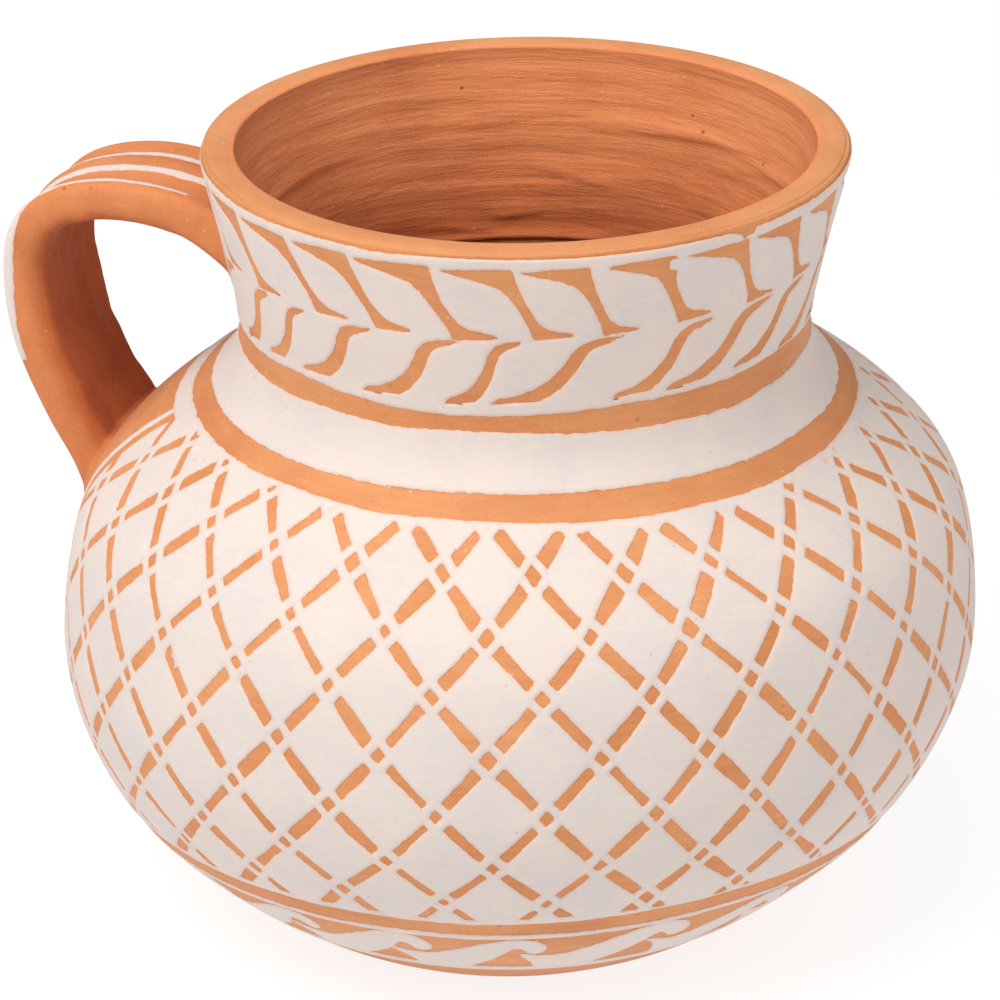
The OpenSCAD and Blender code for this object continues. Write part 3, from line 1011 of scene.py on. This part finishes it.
near = stroke([11, 11.6, 12, 12.6, 14.4, 15.3, 15.6], [0.7, 1, 1.4, 2, 2.4, 2.4, 1.2], 0.135, 0.68, 0)
centre = stroke([3, 3.2, 3.8, 6.2, 9.4, 11.4, 12], [1.4, 1.4, 1.4, 1.7, 2.3, 2.5, 2], 0.115, 0.66, 2)
rear = stroke([-6.2, -6.2, -5.6, -5, -5, -5.4, -6], [1.2, 1.3, 1.3, 1.4, 1.6, 1.7, 1.5], 0.11, 0.69, 4)
for node, inside, lift in (("near", near, 0.2), ("middle", centre, 0.24), ("far", rear, 0.2)):
    skin = painted(f"stripe_{node}_paint", place, outward, inside, False, lift * MM)
    give(skin, "slip", f"stripe_{node}")

# %% [markdown]
# ## Materials
#
# Shader maths is written as plain expressions. `Value` wraps one output of a node, and its operators add
# the node that does the sum, so a formula reads as on paper. Every pattern starts from the place on the
# object in metres, so grains and streaks have their real size.

# %% A small language for shader maths
class Value:
    """One output socket of a material's node tree, with arithmetic."""

    def __init__(self, tree, socket):
        self.tree = tree
        self.socket = socket

    def node(self, kind, output=0, inputs=(), **settings):
        """Any other node: its inputs are given by position or name, and one of its outputs comes back."""
        made = self.tree.nodes.new(kind)
        for name, value in settings.items():
            setattr(made, name, value)
        for slot, value in dict(inputs).items():
            if isinstance(value, Value):
                self.tree.links.new(value.socket, made.inputs[slot])
            else:
                made.inputs[slot].default_value = value
        return Value(self.tree, made.outputs[output])

    def math(self, operation, other):
        return self.node("ShaderNodeMath", 0, {0: self, 1: other}, operation=operation)

    def __add__(self, other):
        return self.math("ADD", other)

    def __sub__(self, other):
        return self.math("SUBTRACT", other)

    def __mul__(self, other):
        return self.math("MULTIPLY", other)

    def over(self, low, high):
        """0 at low and 1 at high, smooth between."""
        settings = {0: self, 1: low, 2: high, 3: 0.0, 4: 1.0}
        return self.node("ShaderNodeMapRange", 0, settings, interpolation_type="SMOOTHSTEP")

    def mix(self, low, high):
        """The colour low where self is 0 and high where it is 1."""
        return self.node("ShaderNodeMix", 2, {0: self, 6: low, 7: high}, data_type="RGBA")

    def noise(self, scale, detail=3.0, rough=0.55):
        """Soft noise, between 0 and 1, where self is the place."""
        settings = {"Vector": self, "Scale": scale, "Detail": detail, "Roughness": rough}
        return self.node("ShaderNodeTexNoise", 0, settings)

    def flecks(self, scale, wide, core, patch, low, high):
        """Small round flecks, solid at the core, only where a patchy noise lets them through."""
        near = self.node("ShaderNodeTexVoronoi", 0, {"Vector": self, "Scale": scale})
        return near.over(wide, core) * self.noise(patch, 1.0).over(low, high)

    def streaks(self, round_pot, along_radius):
        """The place squeezed round the axis, so that noise on it makes long streaks round the pot."""
        x, y, z = [self.node("ShaderNodeSeparateXYZ", k, {0: self}) for k in range(3)]
        angle = y.math("ARCTAN2", x) * round_pot
        radius = (x * x + y * y).math("POWER", 0.5) * along_radius
        return self.node("ShaderNodeCombineXYZ", 0, {0: angle, 1: z, 2: radius})

    def height(self, low, high):
        """0 at one height in metres and 1 at another."""
        return self.node("ShaderNodeSeparateXYZ", 2, {0: self}).over(float(low), float(high))

    def bumped(self, height, strength, distance):
        """A surface direction from a height."""
        settings = {"Height": height, "Strength": strength, "Distance": distance}
        return self.node("ShaderNodeBump", 0, settings)

    def attribute(self, name):
        """A number stored on the mesh."""
        return self.node("ShaderNodeAttribute", 2, attribute_name=name)

    def into(self, shader, name):
        """Links the value to an input of the shader."""
        self.tree.links.new(self.socket, shader.inputs[name])


def new_material(name, **constants):
    """A material, its shader node and the place on the object. Constants go to the shader's inputs."""
    material = bpy.data.materials.new(name)
    material.use_nodes = True
    tree = material.node_tree
    shader = tree.nodes["Principled BSDF"]
    for label, value in constants.items():
        shader.inputs[label.replace("_", " ")].default_value = value
    place = Value(tree, tree.nodes.new("ShaderNodeTexCoord").outputs["Object"])
    print("material", name)
    return material, shader, place


# %% [markdown]
# ### Bare clay
#
# Red clay fires to a warm orange. Rubbing with a smooth stone drew the finest clay to the surface in faint
# streaks round the pot. Inside, where nobody rubbed it, it stays redder and coarse, with sand grains and
# pinholes, and painted shade darkens it deep in the neck. One function makes all three kinds, with how raw
# the clay is as a number, so they stay one family, and each mixes in its own painted shade.

# %% The clay
BARE = (0.70, 0.288, 0.112, 1)
BARE_DARK = (0.56, 0.19, 0.064, 1)
BARE_LIGHT = (0.80, 0.40, 0.19, 1)
RAW = (0.80, 0.285, 0.112, 1)
RAW_DARK = (0.58, 0.17, 0.055, 1)
STRAP = (0.71, 0.25, 0.088, 1)
STRAP_DARK = (0.53, 0.155, 0.048, 1)
PAINTED_SHADE = (0.57, 0.15, 0.044, 1)
PAINTED_SHADE_DARK = (0.36, 0.085, 0.024, 1)
SOOT = (0.2, 0.07, 0.03, 1)
PIN = (0.16, 0.055, 0.02, 1)
SAND = (0.82, 0.62, 0.42, 1)


def clay_material(name, lines_of, raw, dark, main, painted_shade_of):
    """Fired clay. `raw` says how coarse it is.

    From the place, `lines_of` makes the squeezed place for streaks, and the last function the painted shade.
    """
    material, shader, place = new_material(name, Specular_IOR_Level=0.32, Sheen_Weight=0.04)
    lines = lines_of(place)
    streak = lines.noise(1000.0, 3.0, 0.6)
    broad = lines.noise(260.0, 3.0, 0.6)
    cloud = place.noise(38.0, 4.0)
    grain = place.noise(2600.0, 2.0, 0.7)
    speck = place.flecks(420.0, 0.16, 0.05, 95.0, 0.5, 0.62)
    pale = place.flecks(300.0, 0.12, 0.05, 70.0, 0.52, 0.62)
    pin = place.flecks(150.0, 0.09, 0.04, 60.0, 0.58, 0.68)
    tone = (cloud * 0.55 + streak * 0.26 + broad * 0.25 + grain * 0.42 - 0.21).math("MAXIMUM", 0.0)
    colour = tone.over(0.25, 0.62).mix(dark, main)
    colour = (tone.over(0.55, 0.85) * (1 - 0.6 * raw)).mix(colour, BARE_LIGHT)
    # Painted shade: where the shade function says, a darker and redder clay is mixed in.
    colour = painted_shade_of(place).mix(colour, tone.over(0.25, 0.7).mix(PAINTED_SHADE_DARK, PAINTED_SHADE))
    colour = (speck * 0.3).mix(colour, SOOT)
    colour = (pale * 0.5).mix(colour, SAND)
    (pin * (0.25 + 0.35 * raw)).mix(colour, PIN).into(shader, "Base Color")
    (streak * 0.12 + (0.6 + raw * 0.14)).into(shader, "Roughness")
    height = streak * (0.5 + 1.1 * raw) + grain * (0.35 + 0.5 * raw) + broad * (0.4 + 0.9 * raw)
    place.bumped(height - pin * 2.0, 0.6, (0.2 + 0.12 * raw) * MM).into(shader, "Normal")
    return material


def round_the_pot(place):
    return place.streaks(0.006, 0.3)


def down_the_strap(place):
    return place.node("ShaderNodeVectorMath", 0, {0: place, 1: (0.18, 1.0, 0.18)}, operation="MULTIPLY")


def painted_shade_at_foot(place):
    """Painted shade: a little darker towards the foot."""
    return place.height(BASE_Z + 22 * MM, BASE_Z + 2 * MM) * 0.4


def painted_shade_in_neck(place):
    """Painted shade: darker down inside the neck towards the joint and in the belly, deeper in the opening.
    """
    depth = place.height(LIP_Z - 6 * MM, JOINT_Z - 4 * MM)
    return depth * 0.5 + depth * depth * 0.5


def painted_shade_inner_face(place):
    """Painted shade: darker on the strap's inner face, which faces the pot, and towards its foot."""
    return place.attribute("painted_shade_inner_face")


clay = clay_material("rubbed_clay", round_the_pot, 0.0, BARE_DARK, BARE, painted_shade_at_foot)
raw_clay = clay_material("raw_clay", round_the_pot, 1.0, RAW_DARK, RAW, painted_shade_in_neck)
strap_clay = clay_material("strap_clay", down_the_strap, 0.75, STRAP_DARK, STRAP, painted_shade_inner_face)

# %% [markdown]
# ### White slip
#
# The slip is a warm white with a faint lilac cloud in it, matt as chalk. Where the brush left it thin, at
# the edge of a stroke and in fine bristle tracks, the clay glows through. Grains of iron make tiny rust and
# grey specks. How deep a place lies inside the paint was stored on each skin, so the shader knows the
# edges.

# %% The slip
SLIP = (0.76, 0.655, 0.6, 1)
SLIP_COOL = (0.70, 0.625, 0.595, 1)
SLIP_WARM = (0.775, 0.665, 0.585, 1)
IRON_GREY = (0.28, 0.22, 0.2, 1)
slip, shader, place = new_material("white_slip", Specular_IOR_Level=0.25)
tracks = place.streaks(0.02, 0.6).noise(800.0, 3.0, 0.6)
cloud = place.noise(55.0, 4.0, 0.6)
fine = place.noise(620.0, 2.0, 0.6)
grain = place.noise(3000.0, 2.0, 0.7)
edge = place.attribute("paint_depth") + (fine - 0.5) * 0.55 + (grain - 0.5) * 0.3
thin = edge.over(1.1, 0.1) * 0.16 + tracks.over(0.66, 0.82) * 0.1
rust = place.flecks(520.0, 0.13, 0.05, 120.0, 0.55, 0.64)
grey = place.flecks(330.0, 0.10, 0.04, 80.0, 0.57, 0.64)
colour = (cloud * 0.7 + fine * 0.3).over(0.36, 0.62).mix(SLIP_COOL, SLIP)
colour = tracks.over(0.5, 0.8).mix(colour, SLIP_WARM)
colour = (thin + rust * 0.45).mix(colour, BARE)
colour = (grey * 0.5).mix(colour, IRON_GREY)
edge.over(0.02, 0.14).mix(BARE, colour).into(shader, "Base Color")
(fine * 0.1 + 0.82).into(shader, "Roughness")
place.bumped(fine * 0.8 + grain * 0.4 + tracks * 0.7, 0.5, 0.18 * MM).into(shader, "Normal")

# %% [markdown]
# Each mesh gets its material. The turned pieces have two slots: rubbed clay outside and raw clay on the
# rows that carry finger ridges. Everything that knows its paint depth is slip.

# %% Assign the materials
for piece in (belly, neck):
    piece.data.materials[0] = clay
    piece.data.materials[1] = raw_clay
for name in ("handle_clay", "lute_top", "lute_foot"):
    bpy.data.objects[name].data.materials.append(strap_clay)
skins = [o for o in bpy.data.objects if o.type == "MESH" and o.data.attributes.get("paint_depth")]
for piece in skins:
    piece.data.materials.append(slip)
print(len(skins), "skins of slip")

# %% [markdown]
# ## Stage, light and camera
#
# The pot stands on a pale floor in soft, bright light, as in a small light tent. The floor glows a little
# by itself, which keeps it even out to the horizon and lights the pot's underside.

# %% Floor
floor_mesh = bpy.data.meshes.new("floor")
floor_mesh.from_pydata([(-6, -6, 0), (6, -6, 0), (6, 6, 0), (-6, 6, 0)], [], [(0, 1, 2, 3)])
floor = bpy.data.objects.new("floor", floor_mesh)
floor.location.z = BASE_Z - 0.2 * MM
scene = bpy.context.scene
scene.collection.objects.link(floor)
GREY = (0.22, 0.22, 0.22, 1)
WHITE = (1, 1, 1, 1)
pale = new_material("pale_floor", Base_Color=GREY, Roughness=0.9, Specular_IOR_Level=0,
                    Emission_Color=WHITE, Emission_Strength=0.83)
floor.data.materials.append(pale[0])

# %% [markdown]
# Three square lamps make the shapes readable: a large key from the front left, a weaker and warmer fill
# from the right, and a wide one overhead that lights the lip and the far side of the neck. Big lamps close
# by give soft shadows, as a cloth in front of a window does.

# %% Lights
world = bpy.data.worlds.new("soft_room")
world.use_nodes = True
world.node_tree.nodes["Background"].inputs[0].default_value = WHITE
world.node_tree.nodes["Background"].inputs[1].default_value = 0.33
scene.world = world


def aimed(name, data, azimuth, elevation, distance, target_z):
    """A new object that looks at a point on the axis from an azimuth and an elevation, in degrees."""
    a, e = math.radians(azimuth), math.radians(elevation)
    back = Vector((math.sin(a) * math.cos(e), -math.cos(a) * math.cos(e), math.sin(e)))
    made = bpy.data.objects.new(name, data)
    made.location = Vector((0, 0, target_z)) + back * distance
    made.rotation_euler = (-back).to_track_quat("-Z", "Y").to_euler()
    scene.collection.objects.link(made)
    print(name, "at", [round(v, 2) for v in made.location])
    return made


def lamp(name, azimuth, elevation, distance, size, power, colour):
    """A square lamp that looks at the pot's middle."""
    data = bpy.data.lights.new(name, "AREA")
    data.size = size
    data.energy = power
    data.color = colour
    aimed(name, data, azimuth, elevation, distance, (BASE_Z + TOP_Z) / 2)


lamp("key", -34, 50, 1.6, 1.1, 17, (1, 0.985, 0.96))
lamp("fill", 72, 34, 1.8, 1.4, 6, (1, 0.97, 0.95))
lamp("top", 10, 78, 1.6, 0.9, 8, (1, 0.99, 0.97))

# %% [markdown]
# The camera stands a little to the right and looks down at the pot, so that the mouth opens and the handle
# shows at the left. A long lens from nearly a metre away keeps the ellipses calm. The Standard view
# transform keeps the whites white.

# %% Camera
camera_data = bpy.data.cameras.new("camera")
camera_data.sensor_width = 36
camera_data.lens = 144
camera_data.shift_x = -0.014
camera_data.shift_y = 0.003
scene.camera = aimed("camera", camera_data, 17, 24.8, 0.889, 88.5 * MM)
scene.view_settings.view_transform = "Standard"
